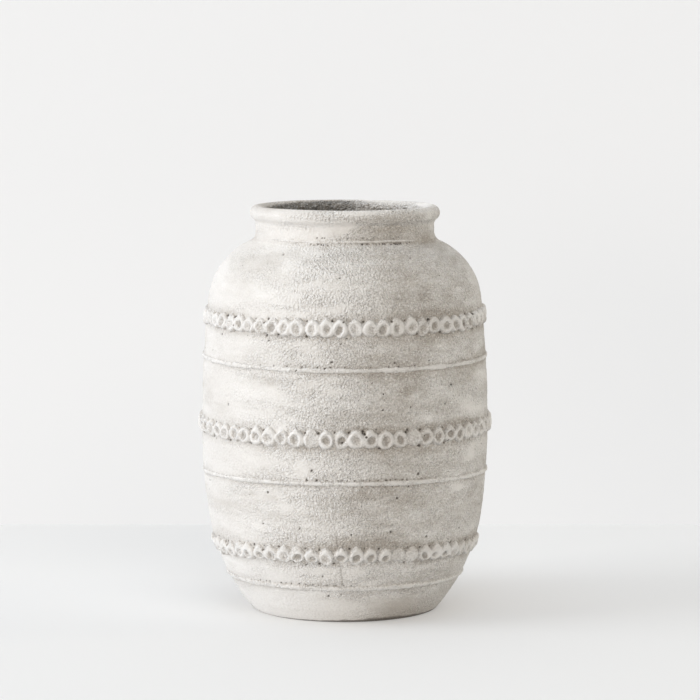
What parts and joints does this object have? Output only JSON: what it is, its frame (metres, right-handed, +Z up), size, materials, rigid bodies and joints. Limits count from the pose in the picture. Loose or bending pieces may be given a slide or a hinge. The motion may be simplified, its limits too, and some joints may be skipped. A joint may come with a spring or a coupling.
{
  "type": "flower pot",
  "caption": "Jar-shaped whitewashed clay flower pot with a round shoulder, short neck and rolled rim, ringed by chains of pressed pellets and thin coils; holds plants, stems or a liner.",
  "frame": {"origin": "middle of the flat ring that the pot stands on", "axes": "+Z up along the pot's axis, -Y towards the viewer of the picture"},
  "size_m": [0.2214, 0.2216, 0.304],
  "materials": {
    "limewash": "chalky limewash over sandy terracotta, with grey-beige patina and dark pinholes",
    "bare_band": "thicker limewash on raised clay, with dark grime in the hollows",
    "base_clay": "thinly washed raw clay"
  },
  "bodies": {
    "root": {"floor_slab": "base_clay", "foot_wall": "limewash", "lower_belly": "limewash", "upper_belly": "limewash", "shoulder": "limewash", "neck_collar": "limewash", "rim_roll": "limewash", "neck_coil": "bare_band", "upper_band": "bare_band", "middle_band": "bare_band", "lower_band": "bare_band", "upper_coil": "bare_band", "middle_coil": "bare_band", "lower_coil": "bare_band"}
  },
  "joints": []
}
